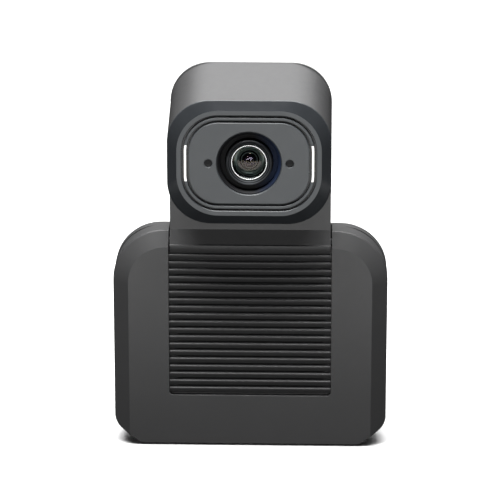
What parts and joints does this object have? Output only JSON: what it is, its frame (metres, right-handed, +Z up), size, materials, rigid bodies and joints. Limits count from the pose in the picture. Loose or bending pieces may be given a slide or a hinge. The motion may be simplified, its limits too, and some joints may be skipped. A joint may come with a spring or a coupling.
{
  "type": "conference camera",
  "caption": "Dark grey conference camera: a square louvred base with rear connectors and a head with a bevelled face, lens and lit bars that tilts on a friction hinge.",
  "frame": {"origin": "mouth of the tripod socket, in the middle of the base's underside", "axes": "+X to the camera's left hand as it faces the viewer's right, +Y to the back, +Z up along the tripod socket's axis; the lens looks along -Y"},
  "size_m": [0.13, 0.063, 0.1837],
  "materials": {
    "housing_plastic": "fine-textured satin dark grey moulding",
    "face_plastic": "satin blue-grey moulding",
    "black_plastic": "black engineering plastic",
    "lens_metal": "black anodised turned metal",
    "ring_metal": "dark polished ring",
    "lens_glass": "coated optical glass",
    "filter_glass": "coated filter glass",
    "light_diffuser": "milky light pipe, lit white",
    "lamp_package": "white lamp package",
    "woven_screen": "black woven mesh",
    "circuit_board": "green solder mask",
    "chip_package": "black epoxy package",
    "thermal_silicone": "soft silicone pad",
    "cast_aluminium": "extruded, natural",
    "sheet_steel": "zinc-plated sheet",
    "fastener_steel": "dark zinc-plated",
    "plated_brass": "turned brass",
    "connector_metal": "nickel-plated shell",
    "foot_rubber": "black rubber",
    "cable_film": "amber polyimide film"
  },
  "bodies": {
    "base": {"front_fascia": "housing_plastic", "louvre_panel": "housing_plastic", "dust_screen": "woven_screen", "mid_housing": "housing_plastic", "rear_cover": "housing_plastic", "io_plate": "sheet_steel", "chassis": "sheet_steel", "main_board": "circuit_board", "board_standoffs": "plated_brass", "board_screws": "fastener_steel", "processor": "chip_package", "memory_chips": "chip_package", "thermal_pad": "thermal_silicone", "heat_sink": "cast_aluminium", "board_components": "black_plastic", "network_jack": "black_plastic", "hdmi_jack": "connector_metal", "usb_jack": "connector_metal", "power_jack": "black_plastic", "reset_switch": "black_plastic", "tripod_insert": "plated_brass", "rubber_feet": "foot_rubber", "cover_screws": "fastener_steel", "fascia_screws": "fastener_steel", "bracket_screws": "fastener_steel", "base_flex": "cable_film", "flex_connectors": "black_plastic", "hinge_bracket_left": "sheet_steel", "hinge_bracket_right": "sheet_steel"},
    "head": {"head_shell": "housing_plastic", "head_rear_cover": "housing_plastic", "head_screws": "fastener_steel", "face_bezel": "face_plastic", "face_frame": "black_plastic", "light_ring": "face_plastic", "light_bars": "light_diffuser", "face_panel": "face_plastic", "microphone_screens": "woven_screen", "microphones": "connector_metal", "tally_boards": "circuit_board", "tally_lamps": "lamp_package", "lens_shroud": "black_plastic", "lens_barrel": "lens_metal", "retaining_ring": "ring_metal", "front_glass": "lens_glass", "inner_glass": "lens_glass", "lens_spacers": "black_plastic", "lens_holder": "black_plastic", "infrared_filter": "filter_glass", "image_sensor": "chip_package", "sensor_board": "circuit_board", "sensor_board_screws": "fastener_steel", "hinge_pins": "fastener_steel", "spring_washers": "fastener_steel", "hinge_nuts": "fastener_steel", "head_flex": "cable_film", "sensor_connector": "black_plastic"},
    "reset": {"reset_button": "black_plastic"}
  },
  "joints": [
    {"name": "head_tilt", "type": "hinge", "parent": "base", "child": "head", "pos_m": [0, -0.0157, 0.099], "axis": [1, 0, 0], "range_deg": [-20, 20]},
    {"name": "reset_press", "type": "slide", "parent": "base", "child": "reset", "axis": [0, -1, 0], "range_m": [0, 0.0006], "stiffness_N_per_m": 1200}
  ]
}
